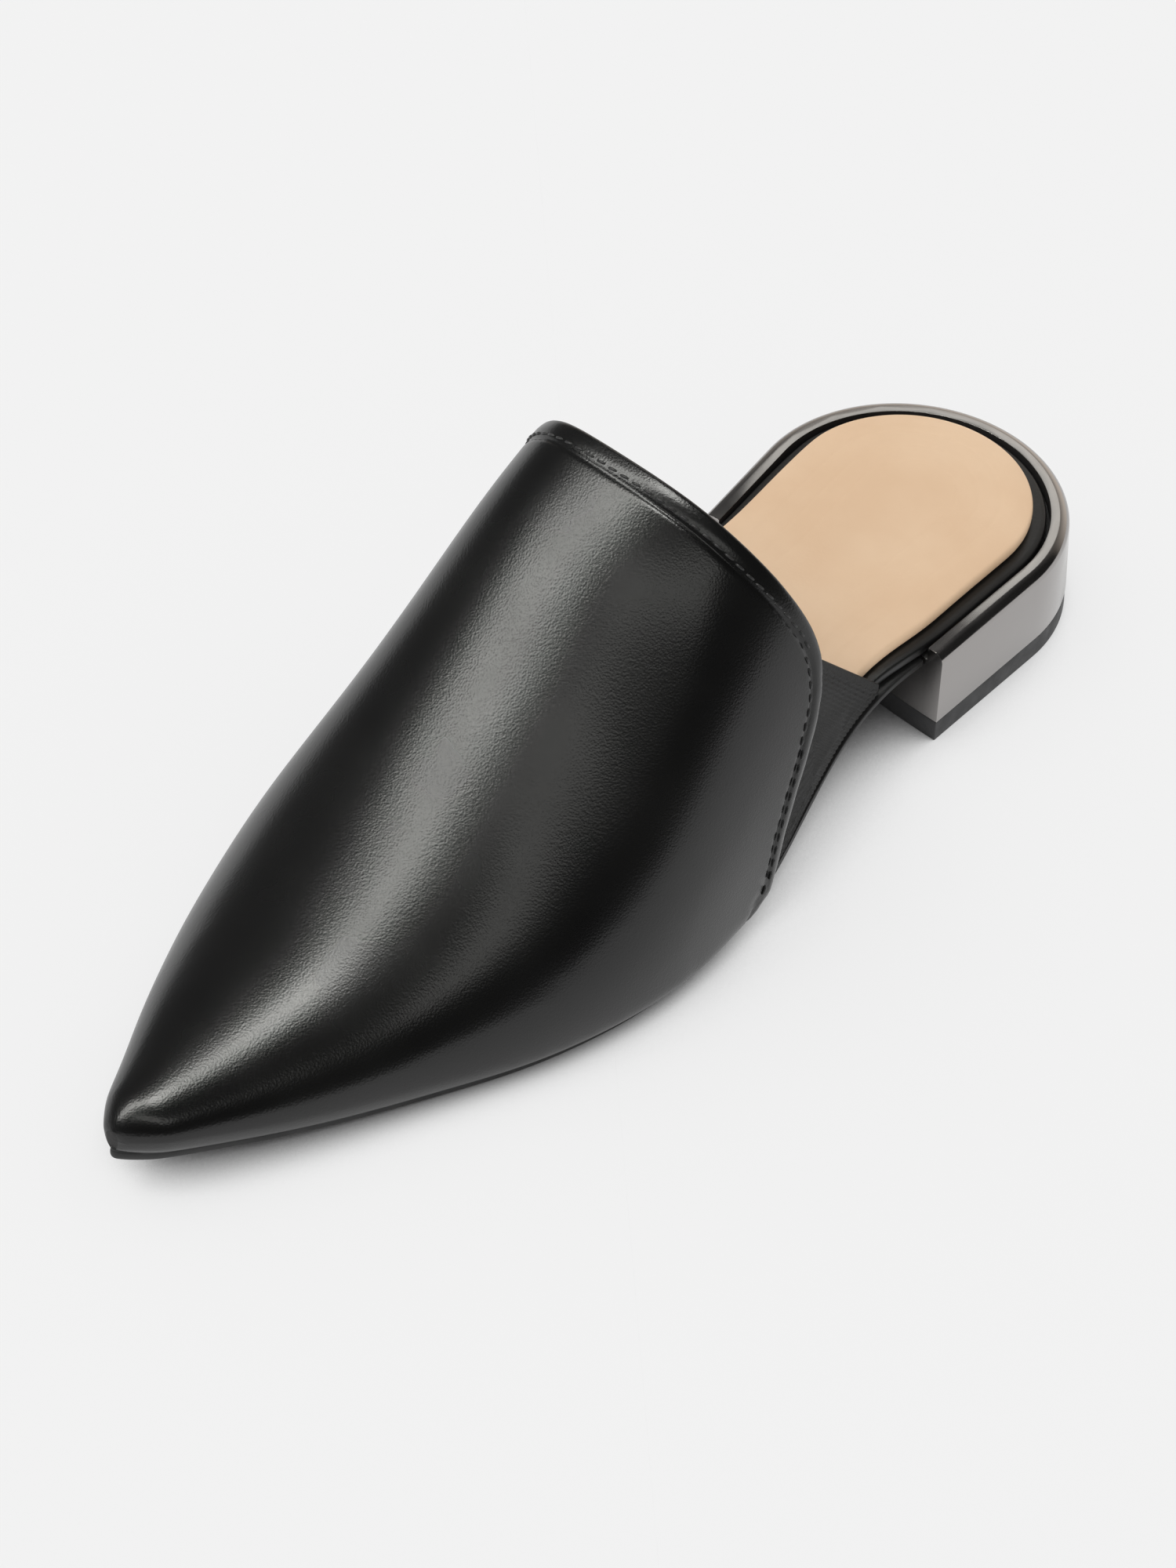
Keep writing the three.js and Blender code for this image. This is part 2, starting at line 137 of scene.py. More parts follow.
def apply_modifier(piece, kind, **settings):
    pick(piece)
    bpy.ops.object.modifier_add(type=kind)
    modifier = piece.modifiers[-1]
    for key, value in settings.items():
        setattr(modifier, key, value)
    bpy.ops.object.modifier_apply(modifier=modifier.name)


def smooth_over(piece, levels):
    apply_modifier(piece, "SUBSURF", levels=levels, render_levels=levels)
    bpy.ops.object.shade_smooth()


def push(piece, height):
    """Moves each point of a piece along its own normal by height(point). All the moves are worked
    out before the first is made, because a moved point would change its neighbours' normals."""
    points = piece.data.vertices
    moves = [point.normal * height(point) for point in points]
    for point, move in zip(points, moves):
        point.co += move
    piece.data.update()


def report(piece):
    size = [round(1000 * side, 1) for side in piece.dimensions]
    print(piece.name, "has", len(piece.data.polygons), "faces and measures", size, "mm")


# %% [markdown]
# ## A copy of a CAD solid
#
# The soft pieces of a shoe are pulled over a last, so their shape is the last's, and the CAD
# solid holds it already. Its mesh is loose triangles, though. A copy is merged into one skin and
# its triangles are paired into four-sided faces, because Subdivision Surface rounds a grid of
# such faces smoothly. Flat pairs go first, so that no pair is made over a corner.

# %% Copy, merge and pair
def copy_of(node, name):
    pick(frame["nodes"][node])
    bpy.ops.object.duplicate()
    piece = bpy.context.object
    bpy.ops.object.parent_clear(type="CLEAR_KEEP_TRANSFORM")
    piece.name = name
    piece.data.name = name
    for key in list(piece.keys()):
        del piece[key]
    piece.data.materials.clear()
    bpy.ops.object.mode_set(mode="EDIT")
    bpy.ops.mesh.select_all(action="SELECT")
    bpy.ops.mesh.remove_doubles(threshold=mm(0.01))
    for angle in (12, 30, 60):
        bpy.ops.mesh.select_all(action="SELECT")
        bpy.ops.mesh.tris_convert_to_quads(
            face_threshold=radians(angle), shape_threshold=radians(180))
    bpy.ops.mesh.customdata_custom_splitnormals_clear()
    bpy.ops.object.mode_set(mode="OBJECT")
    threes = sum(len(face.vertices) == 3 for face in piece.data.polygons)
    print(name, "starts with", len(piece.data.polygons), "faces, of which", threes, "triangles")
    return piece


# %% [markdown]
# ## Finishes
#
# Each finish is a small node tree on the Principled shader. The pattern nodes read Object
# coordinates, which are metres here, so a scale of 2000 gives cells of half a millimetre.

# %% A material and its pattern nodes
def finish(name, color, roughness, **settings):
    material = bpy.data.materials.new(name)
    material.use_nodes = True
    shader = material.node_tree.nodes["Principled BSDF"]
    shader.inputs["Base Color"].default_value = (*color, 1)
    shader.inputs["Roughness"].default_value = roughness
    for key, value in settings.items():
        shader.inputs[key.replace("_", " ")].default_value = value
    return material


def node(material, kind, **settings):
    made = material.node_tree.nodes.new(kind)
    for key, value in settings.items():
        socket = made.inputs.get(key.replace("_", " "))
        if socket is None:
            setattr(made, key, value)
        else:
            socket.default_value = value
    return made


def link(material, start, end):
    material.node_tree.links.new(start, end)


def place_of(material):
    return node(material, "ShaderNodeTexCoord").outputs["Object"]


def stretched(material, source, start, end, low, high):
    """A pattern's values from start to end, stretched to run from low to high."""
    spread = node(material, "ShaderNodeMapRange", From_Min=start, From_Max=end,
                  To_Min=low, To_Max=high)
    link(material, source, spread.inputs["Value"])
    return spread.outputs["Result"]


def speckle(material, scale, detail, low, high):
    """Soft noise stretched to run from low to high."""
    noise = node(material, "ShaderNodeTexNoise", Scale=scale, Detail=detail)
    link(material, place_of(material), noise.inputs["Vector"])
    return stretched(material, noise.outputs["Fac"], 0.35, 0.65, low, high)


def shade_between(material, factor, first, second):
    """Clouds the colour from the first to the second, as the factor says. A Mix node has sockets
    for every kind of value, and its colours are numbers 6 and 7 going in and 2 coming out."""
    mix = node(material, "ShaderNodeMix", data_type="RGBA")
    mix.inputs[6].default_value = (*first, 1)
    mix.inputs[7].default_value = (*second, 1)
    link(material, factor, mix.inputs[0])
    shader = material.node_tree.nodes["Principled BSDF"]
    link(material, mix.outputs[2], shader.inputs["Base Color"])


def roughness_from(material, source):
    shader = material.node_tree.nodes["Principled BSDF"]
    link(material, source, shader.inputs["Roughness"])


def bumps(material, *layers):
    """Layers of (height output, strength, distance in millimetres), one on the other."""
    normal = None
    for height, strength, distance in layers:
        bump = node(material, "ShaderNodeBump", Strength=strength, Distance=mm(distance))
        link(material, height, bump.inputs["Height"])
        if normal:
            link(material, normal, bump.inputs["Normal"])
        normal = bump.outputs["Normal"]
    shader = material.node_tree.nodes["Principled BSDF"]
    link(material, normal, shader.inputs["Normal"])


def pebbles(material, scale, randomness=1.0):
    """Little rounded cells, as of leather grain."""
    cells = node(material, "ShaderNodeTexVoronoi", Scale=scale, Randomness=randomness,
                 feature="SMOOTH_F1")
    link(material, place_of(material), cells.inputs["Vector"])
    return cells.outputs["Distance"]


# %% [markdown]
# ### Black calf
#
# Smooth calf is not flat. Its pores break the gloss up into fine grains, about 0.4 mm across,
# which show as a sparkle where light falls. The bump is a pattern of such little cells.

# %% Leather, lining and the wrapped rim
calf = finish("black_calf", (0.004, 0.004, 0.004), 0.32, Specular_IOR_Level=0.5)
bumps(calf, (pebbles(calf, 2450), 0.5, 0.055))
shade_between(calf, speckle(calf, 35, 2, 0, 1),
              (0.0025, 0.0025, 0.0025), (0.0048, 0.0048, 0.0045))
roughness_from(calf, speckle(calf, 60, 2, 0.25, 0.28))

lining = finish("black_lining", (0.014, 0.013, 0.013), 0.65)
bumps(lining, (pebbles(lining, 1500), 0.4, 0.08))

wrap = finish("wrapped_rim", (0.006, 0.006, 0.006), 0.35)
bumps(wrap, (pebbles(wrap, 2000), 0.3, 0.05), (speckle(wrap, 500, 2, 0, 1), 0.2, 0.05))
print("leathers:", calf.name, lining.name, wrap.name)

# %% [markdown]
# ### Nude insole leather
#
# The sock is thin, unlacquered leather over foam. It is matt, with a fine grain, and its colour
# clouds very slightly, as vegetable-tanned leather does.

# %% Nude leather
nude = finish("nude_leather", (0.75, 0.52, 0.34), 0.52, Specular_IOR_Level=0.35)
shade_between(nude, speckle(nude, 45, 4, 0, 1),
              (0.725, 0.50, 0.318), (0.765, 0.545, 0.358))
bumps(nude,
      (pebbles(nude, 1700), 0.25, 0.05),
      (speckle(nude, 70, 3, 0, 1), 0.3, 0.15))
roughness_from(nude, speckle(nude, 200, 2, 0.48, 0.56))
print("sock leather:", nude.name)

# %% [markdown]
# ### Elastic, thread, rubber and sole
#
# Woven elastic is dull and black, with a fine weave. Thread is a twist of fine fibres.
# The sole and the top lift are moulded: nearly even, with a faint speckle.

# %% Elastic, thread, rubber and sole
elastic = finish("woven_elastic", (0.01, 0.01, 0.01), 0.7, Specular_IOR_Level=0.4)
bumps(elastic, (speckle(elastic, 3500, 2, 0, 1), 0.5, 0.06))
shade_between(elastic, speckle(elastic, 2500, 2, 0, 1),
              (0.006, 0.006, 0.006), (0.018, 0.018, 0.017))

thread = finish("black_thread", (0.02, 0.02, 0.02), 0.4)
bumps(thread, (speckle(thread, 4000, 1, 0, 1), 0.5, 0.05))

rubber = finish("top_lift_rubber", (0.035, 0.035, 0.036), 0.55)
bumps(rubber, (speckle(rubber, 1500, 3, 0, 1), 0.3, 0.05))
roughness_from(rubber, speckle(rubber, 300, 3, 0.48, 0.62))

resin = finish("black_sole", (0.008, 0.008, 0.008), 0.5)
bumps(resin, (speckle(resin, 1200, 3, 0, 1), 0.25, 0.05))
roughness_from(resin, speckle(resin, 150, 3, 0.46, 0.58))
print("dull finishes:", elastic.name, thread.name, rubber.name, resin.name)

# %% [markdown]
# ### Gunmetal
#
# The heel is plated: a mirror, a little smoky, and warm grey. Plating over a moulded block is
# never quite even, so its roughness drifts and a very long, low bump bends the reflections.

# %% Gunmetal
gunmetal = finish("gunmetal", (0.36, 0.345, 0.335), 0.16, Metallic=1.0)
roughness_from(gunmetal, speckle(gunmetal, 90, 3, 0.13, 0.2))
bumps(gunmetal, (speckle(gunmetal, 25, 1, 0, 1), 0.05, 0.3))
print("metal:", gunmetal.name)


# %% [markdown]
# ## The upper
#
# One piece of calf is lasted over the foot shape, and its back edge is turned in and stitched.
# The copy of the CAD solid has the shape. Its inside gets the lining, and its back edge gets
# closer rows of faces, so that the turned hem and the seam can be pressed in.

# %% Copy the upper and tell its inside from its outside
upper = copy_of("upper", "calf_upper")


def smooth_step(value, low, high):
    share = min(max((value - low) / (high - low), 0), 1)
    return share * share * (3 - 2 * share)


def from_axis(point):
    """Away from a line through the middle of the foot, which falls from the instep to the toe."""
    fall = smooth_step(point.x, along(110), along(215))
    return Vector((0, point.y + mm(1), point.z - mm(38) + mm(23) * fall))


def side_of(face):
    """Which part of the leather's skin a face is: its back rim, its outside or its inside."""
    near_back = face.center.x < along(140)
    if near_back and face.normal.x < -0.6 and face.normal.z > -0.5:
        return "rim"
    return "out" if face.normal.dot(from_axis(face.center)) > 0 else "in"


sides = [side_of(face) for face in upper.data.polygons]
upper.data.materials.append(calf)
upper.data.materials.append(lining)
for face, side in zip(upper.data.polygons, sides):
    face.material_index = 1 if side == "in" else 0
print({side: sides.count(side) for side in ("rim", "out", "in")}, "faces")


# %% [markdown]
# The back edge is found from the narrow faces that close the leather's thickness there: they
# look backwards. The edges that they share with the outside are the collar line. Its points are
# sorted by their angle round the foot.

# %% Find the collar line
def round_angle(point):
    """The angle round the foot, in degrees, from straight down on the outer side."""
    away = from_axis(point)
    return (degrees(atan2(away.z, away.y)) + 90) % 360


meeting = {}
for face, side in zip(upper.data.polygons, sides):
    for key in face.edge_keys:
        meeting.setdefault(key, set()).add(side)
on_collar = {i for key, found in meeting.items() if found == {"rim", "out"} for i in key}
collar = sorted((upper.data.vertices[i].co.copy() for i in on_collar), key=round_angle)
print("the collar line has", len(collar), "points, from", collar[0], "to", collar[-1])


def nearest_place(points, spacing=0.3):
    """A lookup of the nearest point of a line, refined to a spacing in millimetres."""
    fine = []
    for start, end in zip(points, points[1:]):
        steps = max(1, int((end - start).length / mm(spacing)))
        fine += [start.lerp(end, step / steps) for step in range(steps)]
    fine.append(points[-1])
    tree = KDTree(len(fine))
    for number, point in enumerate(fine):
        tree.insert(point, number)
    tree.balance()
    return tree, fine


# %% [markdown]
# Two rows of faces lie close behind the edge, too few for a crisp seam. Subdivide splits the
# edges that run away from the collar line in its second row, on both skins, into four.

# %% Closer rows at the hem
collar_tree, collar_fine = nearest_place(collar)


def from_collar(point):
    return collar_tree.find(point)[2]


def crosses_hem(edge):
    near, far = sorted(from_collar(end) for end in edge_ends(upper, edge))
    return near < mm(3.6) and far > mm(4.2) and far - near > mm(2.5) and far < mm(9)


print(pick_parts(upper, "EDGE", crosses_hem), "edges split")
bpy.ops.mesh.subdivide(number_cuts=3, smoothness=0)
bpy.ops.object.mode_set(mode="OBJECT")
smooth_over(upper, 2)
report(upper)

# %% [markdown]
# The seam lies 5 mm from the edge over the instep, and closer, 3.6 mm, down the outer side. The
# thread pulls the leather in along it, and the turned-in double layer stands a little proud
# between seam and edge.

# %% Press the seam in
SEAM_TOP = mm(5)
SEAM_SIDE = mm(3.6)
HEM_REACH = mm(9)
GROOVE = mm(0.34)
GROOVE_WIDTH = mm(0.55)
FOLD = mm(0.22)
FOLD_WIDTH = mm(1.3)


def seam_offset(point):
    angle = round_angle(point)
    return SEAM_SIDE + (SEAM_TOP - SEAM_SIDE) * smooth_step(angle, 110, 150)


def hill(value, middle, width):
    return exp(-((value - middle) / width) ** 2)


outer_points = set()
for face in upper.data.polygons:
    if face.material_index == 0:
        outer_points.update(face.vertices)


def seam_relief(vertex):
    away = from_collar(vertex.co)
    facing_out = vertex.normal.dot(from_axis(vertex.co)) > 0
    if vertex.index not in outer_points or away > HEM_REACH or not facing_out:
        return 0
    offset = seam_offset(vertex.co)
    groove = GROOVE * hill(away, offset, GROOVE_WIDTH)
    fold = FOLD * hill(away, offset * 0.52, FOLD_WIDTH)
    return fold - groove


push(upper, seam_relief)
print("seam pressed in, at most", SEAM_TOP, "m from the edge")
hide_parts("upper")
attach(upper, "root")

# %% [markdown]
# ## The stitches
#
# One lockstitch is modelled: a ring of eight points is extruded along its length, thicker in the
# middle, and its two ends dive into the leather. It is then copied along the seam.

# %% One stitch
STITCH = mm(2.3)
PITCH = mm(2.9)
THREAD = mm(0.26)
DIVE = 0.3

# Four steps along the stitch: the share of its length, the rise in mm, and the growth of the ring.
STITCH_PROFILE = ((0.2, DIVE, 2), (0.3, 0.05, 1.1), (0.3, -0.05, 0.91), (0.2, -DIVE, 0.5))


def one_stitch():
    bpy.ops.mesh.primitive_circle_add(
        vertices=8, radius=THREAD * 0.5, fill_type="NGON", rotation=(0, pi / 2, 0),
        location=(-STITCH / 2, 0, -mm(DIVE)))
    stitch = bpy.context.object
    bpy.ops.object.transform_apply(location=True, rotation=True, scale=True)
    bpy.ops.object.mode_set(mode="EDIT")
    bpy.ops.mesh.select_all(action="SELECT")
    for share, lift, swell in STITCH_PROFILE:
        bpy.ops.mesh.extrude_region_move(
            TRANSFORM_OT_translate={"value": (STITCH * share, 0, mm(lift))})
        bpy.ops.transform.resize(value=(1, swell, swell))
    bpy.ops.mesh.select_all(action="SELECT")
    bpy.ops.mesh.normals_make_consistent(inside=False)
    bpy.ops.object.mode_set(mode="OBJECT")
    bpy.ops.object.shade_smooth()
    return stitch


# %% [markdown]
# Each copy is laid on the leather: its length along the seam, with a slight slant, and its back
# along the surface normal, found by asking the upper for its closest point.

# %% Find the seam and lay the stitches
PROUD = mm(0.08)
SLANT = radians(5)
skin = KDTree(len(outer_points))
for index in outer_points:
    skin.insert(upper.data.vertices[index].co, index)
skin.balance()


def evenly(line, spacing, reach):
    """The same line smoothed over a reach of points, and with its points evenly spaced."""
    soft = []
    for number in range(len(line)):
        near = line[max(0, number - reach):number + reach + 1]
        soft.append(sum(near, Vector()) / len(near))
    even = [soft[0]]
    for point in soft:
        while (point - even[-1]).length >= spacing:
            even.append(even[-1] + (point - even[-1]).normalized() * spacing)
    return even


def seam_line():
    """The line that keeps the seam's distance from the collar's edge, over the outside."""
    edge = evenly(collar_fine, mm(1), 6)
    found = []
    for before, point, after in zip(edge, edge[2:], edge[4:]):
        tangent = (after - before).normalized()
        forward = Vector((1, 0, 0)) - tangent * tangent.x
        guess = point + forward.normalized() * seam_offset(point)
        normal = upper.data.vertices[skin.find(guess)[1]].normal
        inward = normal.cross(tangent).normalized()
        if inward.x < 0:
            inward.negate()
        place = point + inward * seam_offset(point)
        for _ in range(3):
            place = upper.closest_point_on_mesh(place + normal * mm(1))[1]
            place += inward * (seam_offset(place) - from_collar(place))
        if normal.z > -0.35:
            found.append(place)
    return found


def stitch_places():
    line = evenly(seam_line(), PITCH, 5)
    places = []
    for before, here, after in zip(line, line[1:], line[2:]):
        tangent = (after - before).normalized()
        above = here + from_axis(here).normalized() * mm(2)
        place, normal = upper.closest_point_on_mesh(above)[1:3]
        normal = (normal - tangent * normal.dot(tangent)).normalized()
        places.append((place + normal * PROUD, tangent, normal))
    return places


model_stitch = one_stitch()
stitches = []
for place, tangent, normal in stitch_places():
    side = normal.cross(tangent).normalized()
    turn = Matrix((tangent, side, normal)).transposed().to_4x4()
    slant = Matrix.Rotation(SLANT, 4, "Z")
    copy = model_stitch.copy()
    copy.data = model_stitch.data.copy()
    bpy.context.collection.objects.link(copy)
    copy.matrix_world = Matrix.Translation(place) @ turn @ slant
    stitches.append(copy)
bpy.data.objects.remove(model_stitch)
pick(*stitches)
bpy.ops.object.join()
seam = bpy.context.object
bpy.ops.object.transform_apply(location=True, rotation=True, scale=True)
seam.name = "hem_stitches"
seam.data.materials.clear()
seam.data.materials.append(thread)
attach(seam, "root")
print(len(stitches), "stitches laid")
report(seam)

# %% [markdown]
# ## The elastic gore
#
# Shoe elastic is woven with cords across it, which stand up as fine ribs. They run parallel to
# the gore's top edge, and the top edge itself is a plain woven selvedge. The copy is subdivided
# finely and each point is moved along its normal by a wave that is read from its distance to
# that top edge, so the ribs are real geometry.

# %% Copy the gore and find its top edge
gore = copy_of("elastic_gore", "ribbed_gore")
gore.data.materials.append(elastic)

gore_top = {}
for face in gore.data.polygons:
    if face.normal.z > 0.6:
        for i in face.vertices:
            point = gore.data.vertices[i].co
            gore_top[tuple(point)] = point.copy()
print("points on the gore's top edge:", len(gore_top))
top_line = sorted(gore_top.values(), key=lambda point: point.x)


def runs_down(edge):
    start, end = edge_ends(gore, edge)
    way = (end - start).normalized()
    return abs(way.z) > 0.6 and abs(way.x) < 0.5


print(pick_parts(gore, "EDGE", runs_down), "edges that cross the ribs are cut")
bpy.ops.mesh.subdivide(number_cuts=3, smoothness=0)
bpy.ops.object.mode_set(mode="OBJECT")
print(sum(len(face.vertices) != 4 for face in gore.data.polygons), "faces without four sides")
smooth_over(gore, 3)
RIB = mm(1.0)
RIB_HEIGHT = mm(0.12)
SELVEDGE = mm(1.8)
top_tree = nearest_place(top_line)[0]


def rib_relief(vertex):
    down = top_tree.find(vertex.co)[2]
    if down < SELVEDGE:
        return 0
    return RIB_HEIGHT * sin(2 * pi * (down - SELVEDGE) / RIB)


push(gore, rib_relief)
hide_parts("elastic_gore")
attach(gore, "root")
report(gore)

# %% [markdown]
# ## The wrapped insole board
#
# The board's edge is covered with black leather, turned round it from above. Nothing is added to
# its shape but roundness.

# %% The board
board = copy_of("insole_board", "wrapped_board")
board.data.materials.append(wrap)
smooth_over(board, 2)
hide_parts("insole_board")
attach(board, "root")
report(board)

# %% [markdown]
# ## The padded sock
#
# The sock is a thin pad, so its top is nearly flat, with a soft shoulder all round. A hot stamp
# has pressed three horseshoe rings into it at the heel. The copy's top is only long strips from
# side to side, so those are cut crosswise first.

# %% Cut the strips and round the pad
sock = copy_of("insole_sock", "padded_sock")
sock.data.materials.append(nude)


def runs_across(edge):
    start, end = edge_ends(sock, edge)
    return abs(start.y - end.y) > mm(12) and min(start.z, end.z) > mm(1)


print(pick_parts(sock, "EDGE", runs_across), "strips cut")
bpy.ops.mesh.subdivide(number_cuts=17, smoothness=0)
bpy.ops.object.mode_set(mode="OBJECT")
smooth_over(sock, 3)
report(sock)

# %% [markdown]
# The rings keep a steady distance from the pad's edge, and fade out towards the foot's arch.

# %% Press the rings in
rim = [Vector((point.co.x, point.co.y, 0)) for point in sock.data.vertices
       if abs(point.normal.z) < 0.5]
rim_tree = KDTree(len(rim))
for number, point in enumerate(rim):
    rim_tree.insert(point, number)
rim_tree.balance()
RINGS = (mm(6.5), mm(11), mm(15.5))
RING_WIDTH = mm(0.7)
RING_DEPTH = mm(0.1)


def ring_relief(vertex):
    if vertex.normal.z < 0.7:
        return 0
    edge_distance = rim_tree.find(Vector((vertex.co.x, vertex.co.y, 0)))[2]
    fade = 1 - smooth_step(vertex.co.x, along(80), along(115))
    press = sum(hill(edge_distance, ring, RING_WIDTH) for ring in RINGS)
    return -RING_DEPTH * press * fade


push(sock, ring_relief)
print(len(RINGS), "rings pressed into the heel")
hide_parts("insole_sock")
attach(sock, "root")

# %% [markdown]
# ## The outsole
#
# A thin moulded sole with a crisp edge. Its rear end is cut square against the heel, so the
# edges of that end are creased, or Subdivision would round it into a tongue. The upper is cemented
# to it on the real shoe. Here both of their rounded edges leave a slit, which would let light into
# the toe, so the face under the upper is raised by a little over a millimetre to close it.

# %% The sole
outsole = copy_of("outsole", "black_outsole")
outsole.data.materials.append(resin)


def at_rear(edge):
    return all(end.x < along(BREAST + 1) for end in edge_ends(outsole, edge))


CLOSING = mm(1.1)
print(pick_parts(outsole, "EDGE", at_rear), "edges of the rear end creased")
bpy.ops.transform.edge_crease(value=1)
bpy.ops.object.mode_set(mode="OBJECT")
smooth_over(outsole, 2)


def cemented_face(vertex):
    if vertex.normal.z < 0.85:
        return 0
    return CLOSING * smooth_step(vertex.co.x, along(100), along(110))


push(outsole, cemented_face)
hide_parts("outsole")
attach(outsole, "root")
report(outsole)

# %% [markdown]
# ## The heel block
#
# The heel is a round back with two straight sides that open out to the breast, the flat front
# face. Its outline starts as a circle. The circle's front is deleted, the two ends are extruded
# along their tangents to the breast, and the front is closed and drawn in a little.

# %% A slab with the heel's outline
def heel_slab(name, inset, front, hollow, low, high):
    """A flat-topped slab: the heel's outline moved in by an inset, from one height to another."""
    bpy.ops.object.select_all(action="DESELECT")
    centre = Vector((back_centre.x, back_centre.y, low))
    bpy.ops.mesh.primitive_circle_add(
        vertices=144, radius=HEEL_RADIUS - inset, fill_type="NOTHING", location=centre)
    slab = bpy.context.object
    slab.name = name
    slab.data.name = name
    bpy.ops.object.transform_apply(location=True, rotation=True, scale=True)
    forward = along(BREAST) - centre.x

    def tangent_angle(half):
        return atan2(half, forward) + acos(HEEL_RADIUS / hypot(forward, half))

    lateral = tangent_angle(LATERAL_HALF)
    medial = tangent_angle(MEDIAL_HALF)

    def in_front(vertex):
        away = vertex.co - centre
        angle = atan2(away.y, away.x)
        return -medial < angle < lateral

    pick_parts(slab, "VERT", in_front)
    bpy.ops.mesh.delete(type="VERT")
    bpy.ops.object.mode_set(mode="OBJECT")
    corners = []
    for side, angle in ((1, lateral), (-1, -medial)):
        ends = sorted((v for v in slab.data.vertices if (v.co.y - centre.y) * side > 0),
                      key=lambda v: abs(atan2(v.co.y - centre.y, v.co.x - centre.x)))
        end = ends[0].co.copy()
        start = centre + (HEEL_RADIUS - inset) * Vector((cos(angle), sin(angle), 0))
        run = along(front) - start.x
        corner = Vector((along(front), start.y - run * cos(angle) / sin(angle), low))
        pick_parts(slab, "VERT", lambda v: (v.co - end).length < mm(0.01))
        bpy.ops.mesh.extrude_region_move(TRANSFORM_OT_translate={"value": start - end})
        bpy.ops.mesh.extrude_region_move(TRANSFORM_OT_translate={"value": corner - start})
        bpy.ops.object.mode_set(mode="OBJECT")
        corners.append(corner)
    pick_parts(slab, "VERT", lambda v: v.co.x > along(front) - mm(0.01))
    bpy.ops.mesh.edge_face_add()
    bpy.ops.mesh.subdivide(number_cuts=15)
    bpy.ops.object.mode_set(mode="OBJECT")
    if hollow:
        middle = sum(corners, Vector()) / 2
        pick_parts(slab, "VERT", lambda v: (v.co - middle).length < mm(1.5))
        bpy.ops.transform.translate(
            value=(-hollow, 0, 0), use_proportional_edit=True,
            proportional_edit_falloff="SMOOTH", proportional_size=(corners[0] - middle).length)
    pick_parts(slab, "VERT", lambda v: True)
    bpy.ops.mesh.edge_face_add()
    bpy.ops.mesh.normals_make_consistent(inside=False)
    bpy.ops.mesh.extrude_region_move(TRANSFORM_OT_translate={"value": (0, 0, high - low)})
    bpy.ops.mesh.select_all(action="SELECT")
    bpy.ops.mesh.normals_make_consistent(inside=False)
    bpy.ops.object.mode_set(mode="OBJECT")
    return slab


# %% [markdown]
# The block's top edge is rounded by a bevel, everywhere but along the breast. Then the block is
# drawn back towards its foot, all of it behind and nothing at the breast. A second slab, set in
# by the rim's width and pushed out through the front, is cut from it for the seat. It carries the
# dark lining, and Boolean can hand a cutter's material on to the faces that it makes, so the
# seat's faces come out dark, and the gap between the board and the rim shows dark.

# %% The metal block
RIM_TOP = mm(23.4)
RIM_WIDTH = mm(3.9)
RIM_ROUND = mm(2.2)
SEAT_FLOOR = mm(20.2)
BLOCK_FOOT = mm(5.3)
BREAST_HOLLOW = mm(1.4)
PLATING_EDGE = mm(0.45)
FLARE = mm(1.8)


def draw_back(piece):
    """Leans the round back out, by nothing at the rim's height to the full flare at the floor."""
    for point in piece.data.vertices:
        share = (along(BREAST) - point.co.x) / (along(BREAST) - back_centre.x)
        point.co.x -= FLARE * (1 - point.co.z / RIM_TOP) * min(max(share, 0), 1)


heel = heel_slab("gunmetal_heel", 0, BREAST, BREAST_HOLLOW, BLOCK_FOOT, RIM_TOP)


def round_this(edge):
    ends = edge_ends(heel, edge)
    at_top = all(end.z > RIM_TOP - mm(0.1) for end in ends)
    on_breast = all(end.x > along(61.5) for end in ends)
    return at_top and not on_breast


print(pick_parts(heel, "EDGE", round_this), "edges rounded")
bpy.ops.mesh.bevel(offset=RIM_ROUND, offset_type="OFFSET", segments=9, profile=0.5)
bpy.ops.object.mode_set(mode="OBJECT")
draw_back(heel)
seat = heel_slab("seat_cutter", RIM_WIDTH, BREAST + 2.5, 0, SEAT_FLOOR, RIM_TOP + mm(2.6))
heel.data.materials.append(gunmetal)
seat.data.materials.append(lining)
apply_modifier(heel, "BOOLEAN", object=seat, operation="DIFFERENCE", solver="EXACT",
               material_mode="TRANSFER")
bpy.data.objects.remove(seat)
apply_modifier(heel, "BEVEL", width=PLATING_EDGE, segments=4, limit_method="ANGLE",
               angle_limit=radians(40), material=0)
bpy.ops.object.shade_smooth_by_angle(angle=radians(40))
print("the heel's finishes:", [slot.material.name for slot in heel.material_slots])
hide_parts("heel")
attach(heel, "root")
report(heel)

# %% [markdown]
# ## The top lift
#
# The rubber that the heel walks on: the same outline, a hair smaller. Its edges are eased, and
# the middle of the tread is sunk a little, so that it stands on a raised border.

# %% The top lift
SMALLER = 0.2
LIFT_TOP = mm(5)
TREAD_BORDER = mm(3.2)
TREAD_SUNK = mm(0.5)
lift = heel_slab("rubber_top_lift", mm(SMALLER), BREAST - SMALLER, BREAST_HOLLOW, 0, LIFT_TOP)
pick_parts(lift, "FACE", lambda face: face.normal.z < -0.9)
bpy.ops.mesh.inset(thickness=TREAD_BORDER)
bpy.ops.mesh.inset(thickness=mm(0.3))
bpy.ops.transform.translate(value=(0, 0, TREAD_SUNK))
bpy.ops.object.mode_set(mode="OBJECT")
draw_back(lift)
lift.data.materials.append(rubber)
apply_modifier(lift, "BEVEL", width=mm(0.4), segments=3, limit_method="ANGLE",
               angle_limit=radians(40))
bpy.ops.object.shade_smooth_by_angle(angle=radians(40))
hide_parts("top_lift")
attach(lift, "root")
report(lift)

